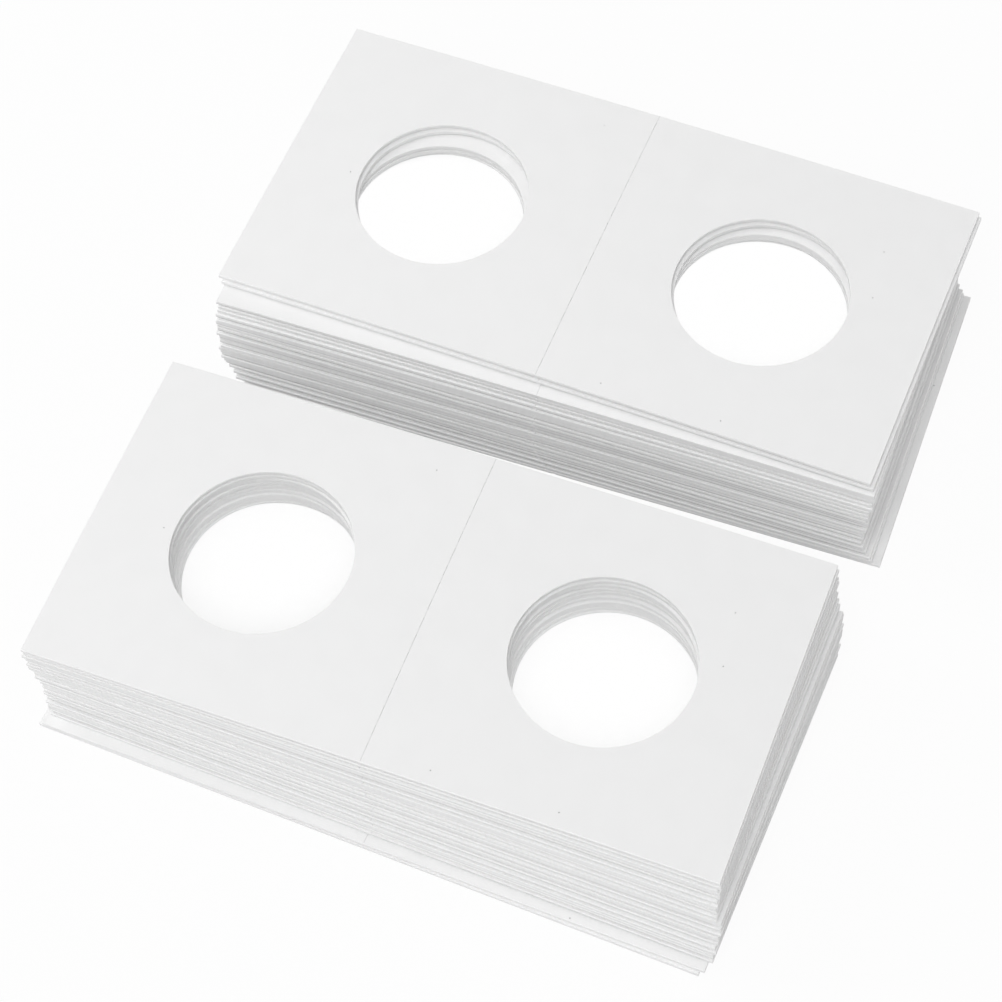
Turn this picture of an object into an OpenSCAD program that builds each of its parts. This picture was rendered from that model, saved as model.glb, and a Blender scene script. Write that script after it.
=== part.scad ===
// Two loose stacks of coin flips. Each flip is a strip of white paperboard with two round windows
// and a perforated fold across its middle. A clear film is bonded over its inner face, and the coin
// lies between the two films once the flip is folded. The flips lie opened flat, film side up.
// X runs along a flip, Y along its fold and Z up. The origin is under the middle of both stacks.

/* [Flip] */
// Length of a flip opened flat
flip_length = 101.6; // [90:0.4:120]
// Width of a flip, along its fold
flip_width = 50.8; // [44:0.4:60]
// Thickness of the paperboard
board_thickness = 0.8; // [0.5:0.05:1]
// Thickness of the clear film
film_thickness = 0.05; // [0.03:0.01:0.1]
// Diameter of the round windows
window_diameter = 26.2; // [18:0.2:38]

/* [Fold] */
// Length of each perforation slit
slit_length = 1.8; // [1:0.1:3]
// Width of each perforation slit
slit_width = 0.24; // [0.16:0.02:0.4]
// Length of board left between two slits
tie_length = 1.1; // [0.6:0.1:2]
// Width of the score pressed into the underside
score_width = 0.8; // [0.5:0.1:1.4]
// Depth of the score
score_depth = 0.15; // [0.05:0.01:0.3]
// Parting between the two panels of a top flip
fold_gap = 0.1; // [0.06:0.01:0.14]

/* [Stacks] */
// Flips in each stack
flips = 25; // [16:1:30]
// Flips below the top one that lift off singly
loose_flips = 12; // [4:1:14]
// Air between two flips of the front stack
front_air = 0.06; // [0.04:0.01:0.4]
// Air between two flips of the rear stack
rear_air = 0.1; // [0.04:0.01:0.4]
// Clear way between the two top flips
stack_gap = 14.6; // [10:0.1:30]
// How far the rear stack stands to the right
rear_shift = 1; // [-5:0.1:5]
// Turn of the rear stack, in degrees
rear_turn = -1.34; // [-3:0.01:3]
// Furthest that a flip strays from its stack's top flip
stray = 3; // [0:0.1:4]
// Furthest that a flip turns from its stack's top flip, in degrees
stray_turn = 2.4; // [0:0.1:3]
// Unevenness from one flip to the next
scatter = 0.16; // [0:0.02:0.4]

/* [Hidden] */
$fn = 128;
// How far a cut runs past the board
overrun = 0.5;
// Colours as the eye sees them
board_colour = [0.93, 0.93, 0.92];
film_colour = [0.80, 0.88, 0.93, 0.35];
// Turn from one flip to the next in the scatter, in degrees
scatter_step = 137.5;
// Stray of the flips down a stack, from its top flip to its bottom one: each row holds the share of
// the way down, the shares of stray along X and Y, and the share of stray_turn
front_stray_shares = [
    [0, 0, 0, 0],
    [0.04, 0.18, 0, -0.04],
    [0.12, 0.14, -0.08, -0.09],
    [0.25, 0.10, -0.14, -0.26],
    [0.38, 0.24, -0.16, -0.48],
    [0.50, 0.52, -0.20, -0.42],
    [0.67, 0.50, -0.26, -0.62],
    [0.83, 0.48, -0.42, -0.76],
    [0.92, 0.42, -0.43, -0.79],
    [0.96, 0.26, -0.90, -0.72],
    [1, -0.01, -0.98, -0.86]
];
rear_stray_shares = [
    [0, 0, 0, 0],
    [0.04, 0.12, -0.03, 0.04],
    [0.08, 0.15, -0.80, 0.40],
    [0.17, 0.07, -0.90, 0.58],
    [0.25, 0, -0.90, 0.67],
    [0.38, -0.10, -0.83, 0.71],
    [0.54, -0.20, -0.60, 0.88],
    [0.67, -0.33, -0.63, 0.92],
    [0.79, -0.27, -0.55, 0.79],
    [0.88, -0.07, -0.50, 0.83],
    [0.96, 0.30, -0.50, 0.92],
    [1, 0.60, -0.52, 1]
];
// Name, place, turn, air and stray of each stack
stacks = [
    ["front", [0, 0], 0, front_air, front_stray_shares],
    ["rear", [rear_shift, flip_width + stack_gap], rear_turn, rear_air, rear_stray_shares]
];
// Each panel has its window in its middle
window_reach = flip_length / 4;
slit_pitch = slit_length + tie_length;
slits = floor((flip_width - tie_length) / slit_pitch);
bundle_flips = flips - 1 - loose_flips;
first_loose = bundle_flips + 1;

function turned(p, a) = [p.x * cos(a) - p.y * sin(a), p.x * sin(a) + p.y * cos(a)];

// One column of a table of shares, read at the share of the way down the stack
function share_at(shares, column, down) = lookup(down, [for (row = shares) [row[0], row[column]]]);

// Unevenness of flip n. The top flip has none, so the stack is measured from it.
function scatter_of(n) = n == flips ? [0, 0] : scatter * [sin(n * scatter_step), cos(2 * n * scatter_step)];

// Flip n counts from the bottom of its stack, so flip 1 lies on the table
function down_of(n) = (flips - n) / (flips - 1);
function stray_of(s, n) = stray * [share_at(s[4], 1, down_of(n)), share_at(s[4], 2, down_of(n))];
function spot_of(s, n) = s[1] + turned(stray_of(s, n) + scatter_of(n), s[2]);
function turn_of(s, n) = s[2] + stray_turn * share_at(s[4], 3, down_of(n));
function height_of(s, n) = (n - 1) * (board_thickness + film_thickness + s[3]);

// Corners of every flip, to find the middle of both stacks
corners = [
    for (s = stacks, n = [1 : flips], x = [-1, 1], y = [-1, 1])
        spot_of(s, n) + turned([x * flip_length / 2, y * flip_width / 2], turn_of(s, n))
];
low = [min([for (c = corners) c.x]), min([for (c = corners) c.y])];
high = [max([for (c = corners) c.x]), max([for (c = corners) c.y])];
middle = (low + high) / 2;

function two_digits(n) = n < 10 ? str("0", n) : str(n);
function piece_name(s, piece) = str(s[0], "_", piece);
function loose_name(s, piece, n) = str(s[0], "_", piece, "_", two_digits(n));

// Puts what it is given on the place of flip n, with the board's underside at the flip's height
module at_flip(s, n) {
    spot = spot_of(s, n) - middle;
    translate([spot.x, spot.y, height_of(s, n)])
        rotate(turn_of(s, n))
            children();
}

// A flat sheet over the whole flip
module sheet(thickness) {
    translate([-flip_length / 2, -flip_width / 2, 0])
        cube([flip_length, flip_width, thickness]);
}

// The die-cut holes of both windows
module windows() {
    for (side = [-1, 1])
        translate([side * window_reach, 0, -overrun])
            cylinder(d = window_diameter, h = board_thickness + 2 * overrun);
}

// The row of slits along the fold, with a tie at each end
module perforation() {
    for (i = [0 : slits - 1])
        translate([-slit_width / 2, (i - (slits - 1) / 2) * slit_pitch - slit_length / 2, -overrun])
            cube([slit_width, slit_length, board_thickness + 2 * overrun]);
}

// The V that a rule presses into the underside, so that the panels close towards the film
module score() {
    rotate([90, 0, 0])
        linear_extrude(height = flip_width + 2 * overrun, center = true)
            polygon([[-score_width, -score_depth], [score_width, -score_depth], [0, score_depth]]);
}

module board_blank() {
    difference() {
        sheet(board_thickness);
        windows();
        perforation();
        score();
    }
}

module film_blank() {
    translate([0, 0, board_thickness])
        sheet(film_thickness);
}

// Keeps one panel of what it is given: side -1 is the left one and side 1 the right one
module one_panel(side) {
    intersection() {
        children();
        translate([side * (flip_length + fold_gap) / 2, 0, -overrun])
            linear_extrude(height = board_thickness + film_thickness + 2 * overrun)
                square([flip_length, flip_width + 2 * overrun], center = true);
    }
}

module board(s, n) {
    color(board_colour)
        at_flip(s, n)
            board_blank();
}

module film(s, n) {
    color(film_colour)
        at_flip(s, n)
            film_blank();
}

module bundle_boards(s) {
    for (n = [1 : bundle_flips])
        board(s, n);
}

module bundle_films(s) {
    for (n = [1 : bundle_flips])
        film(s, n);
}

module top_panel(s, side) {
    color(board_colour)
        at_flip(s, flips)
            one_panel(side)
                board_blank();
}

module top_film(s, side) {
    color(film_colour)
        at_flip(s, flips)
            one_panel(side)
                film_blank();
}

for (s = stacks) {
    bundle_boards(s);
    bundle_films(s);
    for (n = [first_loose : flips - 1]) {
        board(s, n);
        film(s, n);
    }
    top_panel(s, -1);
    top_panel(s, 1);
    top_film(s, -1);
    top_film(s, 1);
}
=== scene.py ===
import math

import bpy
import numpy as np
from mathutils import Matrix, Vector


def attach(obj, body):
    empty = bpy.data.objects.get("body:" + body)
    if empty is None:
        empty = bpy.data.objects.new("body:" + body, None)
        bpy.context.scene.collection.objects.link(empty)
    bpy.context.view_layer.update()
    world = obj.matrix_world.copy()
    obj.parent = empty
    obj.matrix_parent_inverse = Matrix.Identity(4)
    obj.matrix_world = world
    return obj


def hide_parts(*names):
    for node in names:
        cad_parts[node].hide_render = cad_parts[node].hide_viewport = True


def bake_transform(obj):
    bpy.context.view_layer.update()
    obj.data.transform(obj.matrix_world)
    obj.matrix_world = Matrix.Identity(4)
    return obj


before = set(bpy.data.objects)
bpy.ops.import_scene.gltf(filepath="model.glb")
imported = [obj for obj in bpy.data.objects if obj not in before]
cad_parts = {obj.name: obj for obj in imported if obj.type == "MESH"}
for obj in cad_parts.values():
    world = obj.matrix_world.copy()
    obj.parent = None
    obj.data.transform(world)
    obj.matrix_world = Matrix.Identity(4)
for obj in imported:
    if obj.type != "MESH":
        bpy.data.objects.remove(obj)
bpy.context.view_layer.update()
scene = bpy.context.scene
mm = 0.001
print("frame loaded:", len(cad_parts), "nodes")

# What a flip is cut to, in millimetres
flipCut = dict(
    length=101.6, width=50.8, windowDiameter=26.2,
    slitLength=1.8, tieLength=1.1,
    slitHalf=0.024,         # half the width that a knife slit stands open
    scoreHalf=0.4, scoreDepth=0.15,
    foldHalf=0.5,           # the fold bends within this of its line
    stripHalf=0.9,          # and this far out the panels start, so that their shading stays flat
)
tiny = 1e-6                 # millimetres too small to tell apart


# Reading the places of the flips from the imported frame

def nodePoints(node):
    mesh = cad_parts[node].data
    points = np.empty(len(mesh.vertices) * 3, np.float32)
    mesh.vertices.foreach_get("co", points)
    return points.reshape(-1, 3).astype(float)


def cornersOf(points):
    leaning, sloping = points[:, 0] + points[:, 1], points[:, 0] - points[:, 1]
    return (points[leaning.argmin()], points[sloping.argmax()],
            points[leaning.argmax()], points[sloping.argmin()])


def placeOf(points, underside):
    # middle and turn of one flip, from the four corners of its underside
    nearEnough = 0.02 * mm
    under = points[abs(points[:, 2] - underside) < nearEnough]
    frontLeft, frontRight, backRight, backLeft = cornersOf(under)
    middle = (frontLeft + frontRight + backRight + backLeft) / 4
    along = (frontRight - frontLeft) + (backRight - backLeft)
    return dict(x=middle[0], y=middle[1], z=underside, turn=math.atan2(along[1], along[0]))


# Flips that are drawn a hair from their place: how far to the right and to the back in millimetres,
# and how far turned in degrees
nudges = {
    ("front", 24): (-0.45, 0, 0), ("front", 23): (-0.4, 0, 0), ("front", 22): (-0.2, 0, 0),
    ("rear", 23): (0, 0.5, 0.55), ("rear", 22): (0, 0.47, 0.5), ("rear", 21): (0, 0.43, 0.45),
    ("rear", 20): (0, 0.36, 0.4), ("rear", 19): (0, 0.3, 0.3), ("rear", 18): (0, 0.15, 0.15),
}


def readStack(stackName):
    prefix = stackName + "_board_"
    loose = sorted(int(node[len(prefix):]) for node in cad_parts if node.startswith(prefix))
    boards = {n: nodePoints(f"{stackName}_board_{n:02d}") for n in loose}
    low = {n: points[:, 2].min() for n, points in boards.items()}
    first, last = loose[0], loose[-1]
    pitch = (low[last] - low[first]) / (last - first)
    bundle = nodePoints(f"{stackName}_bundle_boards")
    top = np.vstack([nodePoints(f"{stackName}_top_{side}_panel") for side in ("left", "right")])
    film = nodePoints(f"{stackName}_film_{last:02d}")
    places = [placeOf(bundle, (n - 1) * pitch) for n in range(1, first)]
    places += [placeOf(boards[n], low[n]) for n in loose]
    places += [placeOf(top, top[:, 2].min())]
    for n, place in enumerate(places, 1):
        place["n"] = n
        right, back, turn = nudges.get((stackName, n), (0, 0, 0))
        place["x"] += right * mm
        place["y"] += back * mm
        place["turn"] += math.radians(turn)
    thickness = boards[last][:, 2].max() - low[last]
    filmThickness = film[:, 2].max() - film[:, 2].min()
    return dict(name=stackName, flips=places, firstLoose=first, pitch=pitch, board=thickness,
                film=filmThickness, air=pitch - thickness - filmThickness)


stacks = {name: readStack(name) for name in ("front", "rear")}
for name, stack in stacks.items():
    print(name, "stack:", len(stack["flips"]), "flips, pitch", round(stack["pitch"] / mm, 3), "mm")

# How the flips lie on each other. The air between them isn't even: some lie tight, and open gaps
# part them. The open gaps are read from the photograph at the left end, the fold and the right end
# of a stack, by the number of the flip below the gap. All other gaps there are as open as tight
# says. The crowns say how much of the air is gone at a flip's ends and edges, and the last number
# how much fainter the painted shadow and highlight of the gaps are at the fold.
stackLie = {
    "front": dict(
        tight=(0.12, 0.16, 0.3), crownAlong=0.14, crownAcross=0.08, seed=11, pressed=0.2,
        left={24: 0.3, 21: 2.2, 14: 1.6, 13: 1.0, 10: 2.0, 9: 0.8, 7: 2.2, 5: 0.8, 4: 1.8,
              3: 1.6, 1: 0.6},
        fold={24: 1.0, 23: 0.6, 22: 1.2, 20: 1.6, 19: 0.8, 17: 0.8, 14: 1.4, 13: 0.6, 12: 0.9,
              10: 0.8, 8: 1.0, 7: 0.8, 6: 0.8, 4: 1.2, 3: 0.3, 2: 0.7, 1: 0.2},
        right={24: 1.0, 23: 1.0, 21: 1.2, 20: 1.1, 19: 1.0, 17: 1.1, 16: 1.2, 15: 1.1, 12: 1.7,
               11: 1.4, 10: 1.4, 8: 1.4, 7: 1.4, 6: 1.3, 5: 1.5, 4: 0.9, 3: 1.8, 2: 1.5}),
    "rear": dict(
        tight=(0.12, 0.16, 0.2), crownAlong=0.1, crownAcross=0.05, seed=23, pressed=0.3,
        left={24: 0.3, 23: 0.5, 22: 0.9, 21: 0.3, 19: 1.4, 17: 1.2, 15: 2.6, 13: 1.2, 11: 1.0,
              8: 0.4, 7: 1.0, 4: 2.0, 3: 0.6, 2: 2.0, 1: 1.4},
        fold={24: 1.0, 23: 1.1, 22: 0.3, 20: 0.6, 19: 1.2, 16: 1.4, 15: 1.0, 14: 1.2, 13: 0.5,
              12: 0.8, 11: 0.9, 9: 0.8, 8: 1.1, 7: 0.6, 6: 0.9, 5: 1.6, 4: 1.6, 3: 1.2, 2: 1.6,
              1: 1.0},
        right={24: 1.3, 23: 1.3, 21: 0.6, 20: 1.0, 18: 0.9, 17: 0.9, 16: 0.6, 15: 1.6, 14: 1.5,
               13: 1.1, 12: 1.3, 11: 1.7, 10: 1.2, 9: 1.3, 8: 1.5, 7: 1.7, 6: 1.8, 5: 1.4,
               4: 1.6, 3: 3.0, 2: 0.5, 1: 0.8}),
}
backLie = dict(likeFront=0.5, low=0.25, spread=1.5)     # the gaps at the back are half chance
boardThinner = 0.08     # millimetres that the boards are drawn thinner, so that the gaps show
for stack in stacks.values():
    stack["drawn"] = stack["board"] - boardThinner * mm


def openShares(stack):
    # running shares of the air below each flip, at the left end, the fold and the right end, and
    # at the front and the back of each
    lie = stackLie[stack["name"]]
    chance = np.random.default_rng(lie["seed"])
    gaps = len(stack["flips"]) - 1
    shares = np.zeros((3, 2, gaps + 1))
    for i, spotName in enumerate(("left", "fold", "right")):
        front = np.array([lie[spotName].get(k, lie["tight"][i]) for k in range(1, gaps + 1)])
        loose = backLie["low"] + backLie["spread"] * chance.random(gaps) ** 2
        back = backLie["likeFront"] * front / front.mean() + (1 - backLie["likeFront"]) * loose
        for j, openness in enumerate((front, back)):
            shares[i, j, 1:] = np.cumsum(openness) / openness.sum()
    return shares


def liftField(stack):
    lie, shares, top = stackLie[stack["name"]], openShares(stack), stack["flips"][-1]
    allAir = (stack["air"] + boardThinner * mm) * (len(stack["flips"]) - 1)
    overhang = 1.2      # a flip that strays past the top one's front or back is followed this far

    def liftOf(n, x, y):
        # how high flip n lies above its own board and film count, at x and y in metres
        u = np.clip((x - top["x"]) / (flipCut["length"] / 2 * mm), -1, 1)
        v = np.clip((y - top["y"]) / (flipCut["width"] / 2 * mm), -overhang, overhang)
        along = (np.maximum(-u, 0), 1 - abs(u), np.maximum(u, 0))
        f = np.clip((overhang - v) / (2 * overhang), 0, 1)
        across = (f, 1 - f)
        share = sum(along[i] * across[j] * shares[i, j, n - 1] for i in range(3) for j in range(2))
        return allAir * (1 - lie["crownAlong"] * u * u - lie["crownAcross"] * v * v) * share

    return liftOf


# The flat pattern of a flip, cut from one sheet, in millimetres

def slitRows(midpoints):
    # where the rows of points across the fold lie, and where each slit starts and ends
    pitch = flipCut["slitLength"] + flipCut["tieLength"]
    count = int((flipCut["width"] - flipCut["tieLength"]) / pitch)
    rows, cuts = [-flipCut["width"] / 2], []
    for i in range(count):
        centre = (i - (count - 1) / 2) * pitch
        start, end = centre - flipCut["slitLength"] / 2, centre + flipCut["slitLength"] / 2
        rows += [start, centre, end] if midpoints else [start, end]
        cuts.append((start, end))
    return rows + [flipCut["width"] / 2], cuts


def flatPattern(sideSegments, rings, midpoints):
    halfLength, halfWidth = flipCut["length"] / 2, flipCut["width"] / 2
    stripHalf, radius = flipCut["stripHalf"], flipCut["windowDiameter"] / 2
    rows, cuts = slitRows(midpoints)
    points, index, quads = [], {}, []
    grid = 1e5      # points that round to the same hundred-thousandth of a millimetre are one

    def spot(x, y):
        key = (round(x * grid), round(y * grid))
        if key not in index:
            index[key] = len(points)
            points.append((x, y))
        return index[key]

    # each panel runs in rings from its round window out to its straight edges
    for side in (-1, 1):
        low, high = (-halfLength, -stripHalf) if side < 0 else (stripHalf, halfLength)
        across = np.linspace(low, high, sideSegments + 1)
        up = np.linspace(-halfWidth, halfWidth, sideSegments + 1)
        rightSide, leftSide = (rows, up) if side < 0 else (up, rows)
        border = [(x, -halfWidth) for x in across[:-1]] + [(high, y) for y in rightSide[:-1]]
        border += [(x, halfWidth) for x in across[:0:-1]] + [(low, y) for y in leftSide[:0:-1]]
        centre = np.array([side * flipCut["length"] / 4, 0])
        border = np.array(border)
        out = border - centre
        circle = centre + out / np.linalg.norm(out, axis=1)[:, None] * radius
        loops = [[spot(*(c + (b - c) * share)) for c, b in zip(circle, border)] for share in rings]
        for inner, outer in zip(loops, loops[1:]):
            for j in range(len(border)):
                k = (j + 1) % len(border)
                quads.append((inner[j], outer[j], outer[k], inner[k]))

    # the fold is a strip of straight columns between the panels, and the slits are left out of it
    columns = [flipCut["slitHalf"], flipCut["scoreHalf"] / 2, flipCut["scoreHalf"],
               flipCut["foldHalf"], stripHalf]
    columns = [-x for x in columns[::-1]] + columns
    for x0, x1 in zip(columns, columns[1:]):
        for y0, y1 in zip(rows, rows[1:]):
            cut = any(start - tiny <= y0 and y1 <= end + tiny for start, end in cuts)
            if not (cut and abs(x0 + x1) < tiny):
                quads.append((spot(x0, y0), spot(x1, y0), spot(x1, y1), spot(x0, y1)))
    return np.array(points), quads


def openEdges(quads):
    edges = {(q[i], q[(i + 1) % 4]) for q in quads for i in range(4)}
    return sorted((a, b) for a, b in edges if (b, a) not in edges)


def borderOf(points, quads):
    # the pattern's outer and inner borders, with the way out of the board at each of their points
    border, ways = openEdges(quads), {}
    for a, b in border:
        d = points[b] - points[a]
        out = np.array([d[1], -d[0]]) / np.linalg.norm(d)
        ways.setdefault(a, []).append(out)
        ways.setdefault(b, []).append(out)
    return border, {p: (w[0] + w[1]) / (1 + w[0] @ w[1]) for p, w in ways.items()}


def scoreRise(x):
    return flipCut["scoreDepth"] * max(0.0, 1 - abs(x) / flipCut["scoreHalf"])


# How far the die-cut edges are rounded, in millimetres. The middle of a rounding lies this share of
# it from both faces.
boardEdge = dict(top=0.06, bottom=0.08, slit=0.006, middle=0.29)


def boardBlank(thickness, sideSegments, rings, midpoints):
    # one board lying flat, with its underside at 0: its points and faces, and 1 for each point that
    # is on a cut edge
    flat, quads = flatPattern(sideSegments, rings, midpoints)
    border, ways = borderOf(flat, quads)
    count = len(flat)
    verts, cut = np.zeros((2 * count, 3)), [0.0] * (2 * count)
    verts[:count, :2], verts[:count, 2] = flat, thickness
    verts[count:, :2], verts[count:, 2] = flat, [scoreRise(x) for x, _ in flat]
    verts, rims = list(verts), {}
    for p, way in ways.items():
        x, y = flat[p]
        inSlit = abs(x) < flipCut["slitHalf"] + tiny and abs(y) < flipCut["width"] / 2 - tiny
        top = boardEdge["slit" if inSlit else "top"]
        low = boardEdge["slit" if inSlit else "bottom"]
        topMiddle, lowMiddle = boardEdge["middle"] * top, boardEdge["middle"] * low
        floor = scoreRise(x)
        verts[p] = np.array([*(flat[p] - way * top), thickness])
        verts[count + p] = np.array([*(flat[p] - way * low), floor])
        profile = [(topMiddle, thickness - topMiddle), (0, thickness - top),
                   (0, floor + low), (lowMiddle, floor + lowMiddle)]
        rims[p] = [p]
        for inset, z in profile:
            rims[p].append(len(verts))
            verts.append(np.array([*(flat[p] - way * inset), z]))
            cut.append(1.0)
        rims[p].append(count + p)
    faces = list(quads) + [tuple(count + i for i in reversed(q)) for q in quads]
    for a, b in border:
        for k in range(len(rims[a]) - 1):
            faces.append((rims[a][k], rims[a][k + 1], rims[b][k + 1], rims[b][k]))
    return np.array(verts), faces, np.array(cut)


filmCut = dict(
    inset=0.03, clearance=0.006,        # from the board's edges and above its face, in millimetres
    columns=26, rows=12,
    foldColumns=(0.1, 0.3),             # more columns of points where the fold bends
)


def filmBlank(thickness, filmThickness):
    # one film lying flat on its board
    halfLength = flipCut["length"] / 2 - filmCut["inset"]
    halfWidth = flipCut["width"] / 2 - filmCut["inset"]
    right = np.linspace(flipCut["stripHalf"], halfLength, filmCut["columns"] // 2 + 1)
    right = [*filmCut["foldColumns"], flipCut["foldHalf"], *right]
    xs = [-x for x in right[::-1]] + [0] + right
    ys = np.linspace(-halfWidth, halfWidth, filmCut["rows"] + 1)
    layers = (thickness + filmThickness, thickness + filmCut["clearance"])
    verts = [(x, y, z) for z in layers for y in ys for x in xs]
    across, count = len(xs), len(xs) * len(ys)
    quads = [(j * across + i, j * across + i + 1, (j + 1) * across + i + 1, (j + 1) * across + i)
             for j in range(len(ys) - 1) for i in range(across - 1)]
    faces = quads + [tuple(count + i for i in reversed(q)) for q in quads]
    faces += [(a, a + count, b + count, b) for a, b in openEdges(quads)]
    return np.array(verts), faces, np.zeros(len(verts))


# How strongly the painted shadow and highlight of a gap show, as a share of how open it is: less
# on the windows' walls, where the films close the gaps off, and on the right end's cut face.
gapLook = dict(
    wallBand=0.5, wallOpen=0.1,         # a wall reaches this far from its window, in millimetres
    topFlips=3, topWallOpen=0.5,        # so many flips at the top show more of it on their walls
    endBand=0.2, endOpen=0.5,
)
flipStep = 3.0          # millimetres between two flips' spots, so that each flip has its own grain


def layDown(blank, stack, liftOf, place):
    # the blank's points where the flip lies in its stack, in metres, the spots on the flip, and
    # three values for the materials: the open heights above and below it, which set the painted
    # highlight and shadow of its gaps, and a flag. On a film the flag says that it lies deep in its
    # stack, and on a board that a point is on a window's wall, which is given painted shade.
    local, n, count = blank[0] * mm, place["n"], len(stack["flips"])
    c, s = math.cos(place["turn"]), math.sin(place["turn"])
    x = place["x"] + local[:, 0] * c - local[:, 1] * s
    y = place["y"] + local[:, 0] * s + local[:, 1] * c
    lift = liftOf(n, x, y)
    above = liftOf(n + 1, x, y) - lift if n < count else np.full(len(x), mm)
    below = lift - liftOf(n - 1, x, y) if n > 1 else np.zeros(len(x))
    z = (n - 1) * (stack["drawn"] + stack["film"]) + lift + local[:, 2]
    spots = local + np.array([0, 0, n * flipStep * mm])
    along, across, halfLength = blank[0][:, 0], blank[0][:, 1], flipCut["length"] / 2
    fromMiddle = np.hypot(abs(along) - halfLength / 2, across)      # of the nearer window
    onWall = fromMiddle < flipCut["windowDiameter"] / 2 + gapLook["wallBand"]
    wallOpen = gapLook["topWallOpen" if n > count - gapLook["topFlips"] else "wallOpen"]
    show = 1 - stackLie[stack["name"]]["pressed"] * (1 - abs(along) / halfLength)
    show = np.where(along > halfLength - gapLook["endBand"], gapLook["endOpen"], show)
    show = np.where(onWall, wallOpen, show)
    isFilm = not blank[2].any()
    isDeep = np.full(len(x), float(n <= filmLook["deepFlip"][stack["name"]]))
    gaps = np.stack([above * show, below * show, isDeep if isFilm else onWall], 1)
    return np.stack([x, y, z], 1), spots, gaps


sharpFrom = 20          # degrees between two faces, from which their edge stays sharp


def makePiece(pieceName, laid, material):
    # one mesh from a list of (points, spots on the flip, gaps, faces, cut edges)
    verts, spots, gaps = (np.vstack([part[i] for part in laid]) for i in range(3))
    cut = np.concatenate([part[4] for part in laid])
    faces, start = [], 0
    for part in laid:
        faces += [tuple(start + i for i in face) for face in part[3]]
        start += len(part[0])
    mesh = bpy.data.meshes.new(pieceName)
    mesh.from_pydata(verts.tolist(), [], faces)
    for name, kind, key, values in (("cutEdge", "FLOAT", "value", cut),
                                    ("flipSpot", "FLOAT_VECTOR", "vector", spots),
                                    ("gaps", "FLOAT_VECTOR", "vector", gaps)):
        attribute = mesh.attributes.new(name, kind, "POINT")
        attribute.data.foreach_set(key, values.astype(np.float32).ravel())
    mesh.materials.append(material)
    mesh.polygons.foreach_set("use_smooth", [True] * len(mesh.polygons))
    mesh.set_sharp_from_angle(angle=math.radians(sharpFrom))
    mesh.update()
    obj = bpy.data.objects.new(pieceName, mesh)
    scene.collection.objects.link(obj)
    return obj


# Materials

def startNodes(owner, outputKind="OutputMaterial"):
    # clears the nodes of a material or the world, and gives back two functions: one adds a node,
    # and the other joins the last shader to the output
    owner.use_nodes = True
    tree = owner.node_tree
    tree.nodes.clear()
    output = tree.nodes.new("ShaderNode" + outputKind)

    def add(kind, inputs=None, **settings):
        node = tree.nodes.new("ShaderNode" + kind)
        for key, value in settings.items():
            setattr(node, key, value)
        for key, value in (inputs or {}).items():
            if isinstance(value, bpy.types.NodeSocket):
                tree.links.new(value, node.inputs[key])
            else:
                node.inputs[key].default_value = value
        return node

    def finish(shader):
        tree.links.new(shader.outputs[0], output.inputs["Surface"])

    return add, finish


def ramp(add, factor, low, high, lowValue=0.0, highValue=1.0):
    return add("MapRange", {"Value": factor, "From Min": low, "From Max": high,
                            "To Min": lowValue, "To Max": highValue}).outputs["Result"]


def times(add, first, second):
    return add("Math", {0: first, 1: second}, operation="MULTIPLY").outputs[0]


def mixed(add, share, first, second):
    return add("MixRGB", {"Fac": share, "Color1": first, "Color2": second}).outputs[0]


def partsOf(add, attributeName):
    vector = add("Attribute", attribute_name=attributeName).outputs["Vector"]
    return add("SeparateXYZ", {0: vector}).outputs


def grey(value):
    return (value, value, value, 1)


white = grey(1)
boardLook = dict(
    face=grey(0.90), faceShade=grey(0.875), roughness=0.72, specular=0.3,
    mottle=240, mottleRange=(0.35, 0.7), fibre=2600, fibreRange=(0.3, 0.75),
    bumpHeight=0.02, bumpStrength=0.2,      # of the fibres, in millimetres
    foldShade=grey(0.62), foldShadeHalf=0.07,     # a thin darker line along the fold, painted shade of its slits and crease
    speck=grey(0.16), speckCells=62,
    speckSize=(0.006, 0.0045), speckChoice=(0.66, 0.67),
    speckShift=(7.3, 3.1),                  # moves the specks from flip to flip
    # the last of these is painted shade on the windows' walls
    cut=grey(0.885), cutShade=grey(0.86), wallPaintedShade=grey(0.93),
    ply=9000, plyStretch=0.025, plyRange=(0.35, 0.65), plyBump=(0.35, 0.65),
    # the next two rows give a painted highlight along the top of each cut edge and a painted shadow
    # at its foot, both where a gap is open
    rimHighlight=grey(0.97), rimTop=0.02, rimDepth=0.24, rimGloss=0.75, rimRoughness=0.4,
    gapShadow=grey(0.24), gapShadowHeight=0.2,
    openFrom=0.05, openTo=0.17,             # a gap starts to show, and shows in full
)


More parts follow.
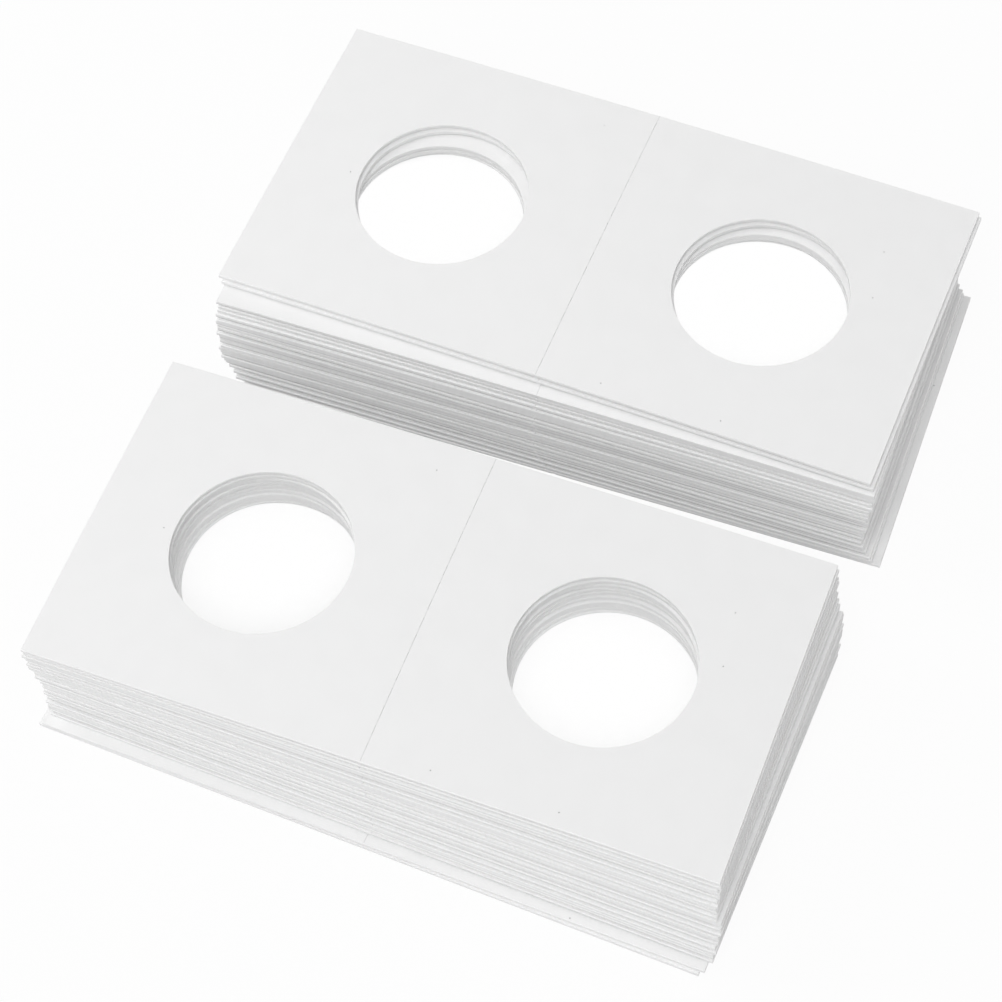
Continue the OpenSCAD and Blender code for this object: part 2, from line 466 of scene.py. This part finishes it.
def makeBoardMaterial():
    look = boardLook
    material = bpy.data.materials.new("white paperboard")
    add, finish = startNodes(material)
    spot = add("Attribute", attribute_name="flipSpot").outputs["Vector"]
    spotParts, gaps = partsOf(add, "flipSpot"), partsOf(add, "gaps")
    height = spotParts["Z"]
    cut = add("Attribute", attribute_name="cutEdge").outputs["Fac"]

    # faces: a faint mottle and felted fibres
    mottle = add("TexNoise", {"Vector": spot, "Scale": look["mottle"],
                              "Detail": 3.0}).outputs["Fac"]
    fibre = add("TexNoise", {"Vector": spot, "Scale": look["fibre"], "Detail": 4.0,
                             "Roughness": 0.6}).outputs["Fac"]
    shade = times(add, ramp(add, mottle, *look["mottleRange"]),
                  ramp(add, fibre, *look["fibreRange"]))
    face = mixed(add, shade, look["face"], look["faceShade"])
    # a thin painted shade line along the fold
    fromFold = add("Math", {0: spotParts["X"]}, operation="ABSOLUTE").outputs[0]
    face = mixed(add, ramp(add, fromFold, look["foldShadeHalf"] * mm, 0.0), face, look["foldShade"])

    # a rare dark speck, of a size that paper mills leave in
    onFace = add("VectorMath", {0: spot, 1: (1, 1, 0)}, operation="MULTIPLY").outputs[0]
    shiftX, shiftY = (times(add, height, shift) for shift in look["speckShift"])
    offset = add("CombineXYZ", {"X": shiftX, "Y": shiftY}).outputs[0]
    speckSpot = add("VectorMath", {0: onFace, 1: offset}, operation="ADD").outputs[0]
    cells = add("TexVoronoi", {"Vector": speckSpot, "Scale": look["speckCells"], "Randomness": 1.0},
                voronoi_dimensions="2D")
    near = ramp(add, cells.outputs["Distance"], *look["speckSize"])
    cellValue = add("SeparateColor", {0: cells.outputs["Color"]}).outputs[0]
    chosen = ramp(add, cellValue, *look["speckChoice"])
    speck = add("Math", {0: near, 1: chosen}, operation="MULTIPLY", use_clamp=True).outputs[0]
    face = mixed(add, speck, face, look["speck"])

    # cut edges: the plies show as fine streaks; a painted highlight lies along the top of each edge
    # where the gap above it is open, and a painted shadow along its foot where the gap below is
    # open
    plies = add("VectorMath", {0: spot, 1: (look["plyStretch"], look["plyStretch"], 1)},
                operation="MULTIPLY").outputs[0]
    streak = add("TexNoise", {"Vector": plies, "Scale": look["ply"], "Detail": 2.0,
                              "Roughness": 0.5}).outputs["Fac"]
    edge = mixed(add, ramp(add, streak, *look["plyRange"], 1.0, 0.0), look["cut"], look["cutShade"])
    aboveUnderside = add("Math", {0: height, 1: flipStep * mm}, operation="MODULO").outputs[0]
    top = stacks["front"]["drawn"] - look["rimTop"] * mm

    def openness(side):
        return ramp(add, gaps[side], look["openFrom"] * mm, look["openTo"] * mm)

    # painted highlight along the top of a cut edge, where the gap above it is open
    rimHighlight = times(add, ramp(add, aboveUnderside, top - look["rimDepth"] * mm, top), openness("X"))
    edge = mixed(add, rimHighlight, edge, look["rimHighlight"])
    # painted shadow at the foot of a cut edge, where the gap below it is open
    gapShadow = times(add, ramp(add, aboveUnderside, look["gapShadowHeight"] * mm, 0.0), openness("Y"))
    edge = mixed(add, gapShadow, edge, look["gapShadow"])
    # painted shade: the windows' walls are darkened, down inside the windows
    wall = mixed(add, gaps["Z"], white, look["wallPaintedShade"])
    edge = add("MixRGB", {"Fac": 1.0, "Color1": edge, "Color2": wall},
               blend_type="MULTIPLY").outputs[0]

    colour = mixed(add, cut, face, edge)
    grain = mixed(add, cut, fibre, ramp(add, streak, 0.0, 1.0, *look["plyBump"]))
    bump = add("Bump", {"Height": grain, "Distance": look["bumpHeight"] * mm,
                        "Strength": look["bumpStrength"]}).outputs["Normal"]
    paper = add("BsdfPrincipled", {"Base Color": colour, "Roughness": look["roughness"],
                                   "Specular IOR Level": look["specular"], "Normal": bump})
    glint = add("BsdfAnisotropic", {"Color": white, "Roughness": look["rimRoughness"]})
    share = times(add, times(add, rimHighlight, cut), look["rimGloss"])
    finish(add("MixShader", {0: share, 1: paper.outputs[0], 2: glint.outputs[0]}))
    return material


# The faces say how many faces' worth of glare a film has: where it is bonded to its board, clear in
# the upper windows, and deep in the stack, from flip 1 to deepFlip. There each film shares the
# glare of all the films below it.
filmLook = dict(
    ior=1.5, bondedFaces=1.4, clearFaces=1.3, deepFaces=27.0, deepFlip=dict(front=16, rear=21),
    clearRoughness=0.0, deepRoughness=0.06, bondedRoughness=0.42,
    bondBand=0.1,                           # the bond starts this near to a window's edge
    dish=0.3, dishLost=-0.5,                # the dish is gone where a face looks this far down
)


def makeFilmMaterial():
    look = filmLook
    material = bpy.data.materials.new("clear film")
    add, finish = startNodes(material)
    spot, deep = partsOf(add, "flipSpot"), partsOf(add, "gaps")["Z"]
    # the way from the nearer window's middle
    side = add("Math", {0: spot["X"]}, operation="SIGN").outputs[0]
    middle = times(add, side, flipCut["length"] / 4 * mm)
    x = add("Math", {0: spot["X"], 1: middle}, operation="SUBTRACT").outputs[0]
    way = add("CombineXYZ", {"X": x, "Y": spot["Y"]}).outputs[0]
    away = add("VectorMath", {0: way}, operation="LENGTH").outputs["Value"]
    radius, band = flipCut["windowDiameter"] / 2 * mm, look["bondBand"] * mm
    bonded = ramp(add, away, radius - band, radius + band)
    # the films' normals lean in the windows as in shallow dishes, so they catch the light from
    # above;
    # the films' mesh itself has no such sag
    lean = add("VectorMath", {0: way, "Scale": -look["dish"] / radius},
               operation="SCALE").outputs[0]
    flatNormal = add("NewGeometry").outputs["Normal"]
    dished = add("VectorMath", {0: lean, 1: flatNormal}, operation="ADD").outputs[0]
    upward = add("SeparateXYZ", {0: flatNormal}).outputs["Z"]
    fromBelow = ramp(add, upward, 0.0, look["dishLost"])
    flat = add("Math", {0: bonded, 1: fromBelow}, operation="MAXIMUM").outputs[0]
    normal = mixed(add, flat, dished, flatNormal)
    normal = add("VectorMath", {0: normal}, operation="NORMALIZE").outputs[0]
    roughness = ramp(add, deep, 0.0, 1.0, look["clearRoughness"], look["deepRoughness"])
    roughness = add("Mix", {0: bonded, 2: roughness, 3: look["bondedRoughness"]}).outputs[0]
    gloss = add("BsdfAnisotropic", {"Color": white, "Roughness": roughness, "Normal": normal})
    clear = add("BsdfTransparent", {"Color": white})
    # a film reflects only where a ray comes in, so that no light is caught inside
    leaving = add("NewGeometry").outputs["Backfacing"]
    entering = add("Math", {0: 1.0, 1: leaving}, operation="SUBTRACT").outputs[0]
    faces = ramp(add, deep, 0.0, 1.0, look["clearFaces"], look["deepFaces"])
    faces = add("Mix", {0: bonded, 2: faces, 3: look["bondedFaces"]}).outputs[0]
    share = times(add, add("Fresnel", {"IOR": look["ior"]}).outputs[0], faces)
    share = add("Math", {0: share, 1: entering}, operation="MULTIPLY", use_clamp=True).outputs[0]
    finish(add("MixShader", {0: share, 1: clear.outputs[0], 2: gloss.outputs[0]}))
    return material


boardMaterial = makeBoardMaterial()
filmMaterial = makeFilmMaterial()
print("materials made")

# The two stacks. The upper boards show their faces and windows, so they are cut more finely.
boardCuts = dict(
    fine=dict(sideSegments=44, rings=(0, 0.04, 0.35, 1), midpoints=True),
    plain=dict(sideSegments=26, rings=(0, 0.35, 1), midpoints=False),
)
fineFlips = 3           # so many in each stack, with the top one


def layStack(stack):
    name, liftOf = stack["name"], liftField(stack)
    thickness, film = stack["drawn"] / mm, stack["film"] / mm
    fine, plain = (boardBlank(thickness, **boardCuts[kind]) for kind in ("fine", "plain"))
    cover = filmBlank(thickness, film)
    top = stack["flips"][-1]

    def laid(blank, place):
        return (*layDown(blank, stack, liftOf, place), blank[1], blank[2])

    low = [place for place in stack["flips"] if place["n"] < stack["firstLoose"]]
    for pieceName, blank, node, material, slotName in (
            ("low_boards", plain, "bundle_boards", boardMaterial, "board"),
            ("low_films", cover, "bundle_films", filmMaterial, "film")):
        allLaid = [laid(blank, place) for place in low]
        obj = makePiece(f"{name}_{pieceName}", allLaid, material)
        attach(obj, "root")
        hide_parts(f"{name}_{node}")

    for place in stack["flips"][len(low):-1]:
        n = place["n"]
        board = fine if n > top["n"] - fineFlips else plain
        for pieceName, blank, node, material, slotName in (
                ("loose_board", board, "board", boardMaterial, "board"),
                ("loose_film", cover, "film", filmMaterial, "film")):
            obj = makePiece(f"{name}_{pieceName}_{n:02d}", [laid(blank, place)], material)
            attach(obj, f"{name}_flip_{n:02d}")
            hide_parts(f"{name}_{node}_{n:02d}")

    # the top flip bends along its fold, so its board and its film are one piece each
    for pieceName, blank, ending, material, slotName in (
            ("folding_board", fine, "panel", boardMaterial, "board"),
            ("folding_film", cover, "film", filmMaterial, "film")):
        obj = makePiece(f"{name}_{pieceName}", [laid(blank, top)], material)
        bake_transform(obj)
        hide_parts(f"{name}_top_left_{ending}", f"{name}_top_right_{ending}")


for stack in stacks.values():
    layStack(stack)
    print(stack["name"], "stack laid")

# Floor, world and lamps
studio = dict(
    floorSize=3.0, floorDrop=0.03, floorWhite=grey(0.82), floorGlow=0.94,
    worldLight=0.47, worldLean=0.06,        # the room is a little brighter on the left
    frontLamp=dict(spot=(0, -3.28, 2.1), size=1.0, power=10.0),
    highLamp=dict(spot=(0, -1.7, 3.0), size=1.8, power=44.0),
    leftLamp=dict(spot=(-0.42, 0, 0.42), size=0.3, power=0.62),
)


def seenPlainly(add):
    # 1 where the white ground itself is seen: in view, in a gloss or through something clear
    path = add("LightPath").outputs
    seen = path["Is Camera Ray"]
    for kind in ("Is Glossy Ray", "Is Transmission Ray"):
        seen = add("Math", {0: seen, 1: path[kind]}, operation="MAXIMUM").outputs[0]
    return seen


def makeFloor():
    size = studio["floorSize"] / 2
    corners = [(-size, -size, 0), (size, -size, 0), (size, size, 0), (-size, size, 0)]
    mesh = bpy.data.meshes.new("floor")
    mesh.from_pydata(corners, [], [(0, 1, 2, 3)])
    floor = bpy.data.objects.new("floor", mesh)
    floor.location.z = -studio["floorDrop"] * mm
    scene.collection.objects.link(floor)
    material = bpy.data.materials.new("floor")
    add, finish = startNodes(material)
    paper = add("BsdfDiffuse", {"Color": studio["floorWhite"]})
    glow = add("Emission", {"Color": white, "Strength": 1.0})
    seen = times(add, seenPlainly(add), studio["floorGlow"])
    finish(add("MixShader", {0: seen, 1: paper.outputs[0], 2: glow.outputs[0]}))
    mesh.materials.append(material)


def makeWorld():
    world = bpy.data.worlds.new("studio")
    scene.world = world
    add, finish = startNodes(world, "OutputWorld")
    across = add("SeparateXYZ", {0: add("TexCoord").outputs["Generated"]}).outputs["X"]
    leftLight = studio["worldLight"] * (1 + studio["worldLean"])
    rightLight = studio["worldLight"] * (1 - studio["worldLean"])
    strength = ramp(add, across, -1, 1, leftLight, rightLight)
    light = add("Background", {"Color": white, "Strength": strength})
    glow = add("Background", {"Color": white, "Strength": 1.0})
    finish(add("MixShader", {0: seenPlainly(add), 1: light.outputs[0], 2: glow.outputs[0]}))


def makeLamp(lampName, spot, size, power):
    lamp = bpy.data.lights.new(lampName, "AREA")
    lamp.shape, lamp.size, lamp.energy = "DISK", size, power
    obj = bpy.data.objects.new(lampName, lamp)
    obj.location = spot
    obj.rotation_mode = "QUATERNION"
    obj.rotation_quaternion = (-Vector(spot)).to_track_quat("-Z", "Y")
    obj.visible_glossy = False      # only the white room shines in the films, and no lamp's edge
    scene.collection.objects.link(obj)


makeFloor()
makeWorld()
for lampName in ("frontLamp", "highLamp", "leftLamp"):
    makeLamp(lampName, **studio[lampName])
print("studio lit")

# The camera, placed from the middle of the front stack's top flip
view = dict(
    spot=(90.00, -169.06, 340.73),              # in millimetres
    yaw=-24.779, pitch=58.728, roll=-4.343,     # in degrees
    focalPixels=2831.4, frame=1002,
    sensorWidth=36, nearest=0.01, furthest=20,
)


def makeCamera():
    yaw, pitch, roll = (math.radians(view[k]) for k in ("yaw", "pitch", "roll"))
    forward = Vector((math.sin(yaw) * math.cos(pitch), math.cos(yaw) * math.cos(pitch),
                      -math.sin(pitch)))
    right = Vector((math.cos(yaw), -math.sin(yaw), 0))
    up = right.cross(forward)
    rolledRight = right * math.cos(roll) + up * math.sin(roll)
    rolledUp = up * math.cos(roll) - right * math.sin(roll)
    front = stacks["front"]
    top = front["flips"][-1]
    anchor = Vector((top["x"], top["y"], top["z"] + front["board"] + front["film"]))
    data = bpy.data.cameras.new("camera")
    data.sensor_width = view["sensorWidth"]
    data.lens = data.sensor_width * view["focalPixels"] / view["frame"]
    data.clip_start, data.clip_end = view["nearest"], view["furthest"]
    camera = bpy.data.objects.new("camera", data)
    turn = Matrix((rolledRight, rolledUp, -forward)).transposed().to_4x4()
    camera.matrix_world = Matrix.Translation(anchor + Vector(view["spot"]) * mm) @ turn
    scene.collection.objects.link(camera)
    scene.camera = camera


makeCamera()
scene.view_settings.view_transform = "Standard"
# A window looks down through every film of its stack. Light bounces between them many times, and
# blurring it would lose it.
scene.cycles.transparent_max_bounces = 1024
scene.cycles.glossy_bounces = 96
scene.cycles.diffuse_bounces = 12
scene.cycles.max_bounces = 128
scene.cycles.blur_glossy = 0.0
print("camera placed")
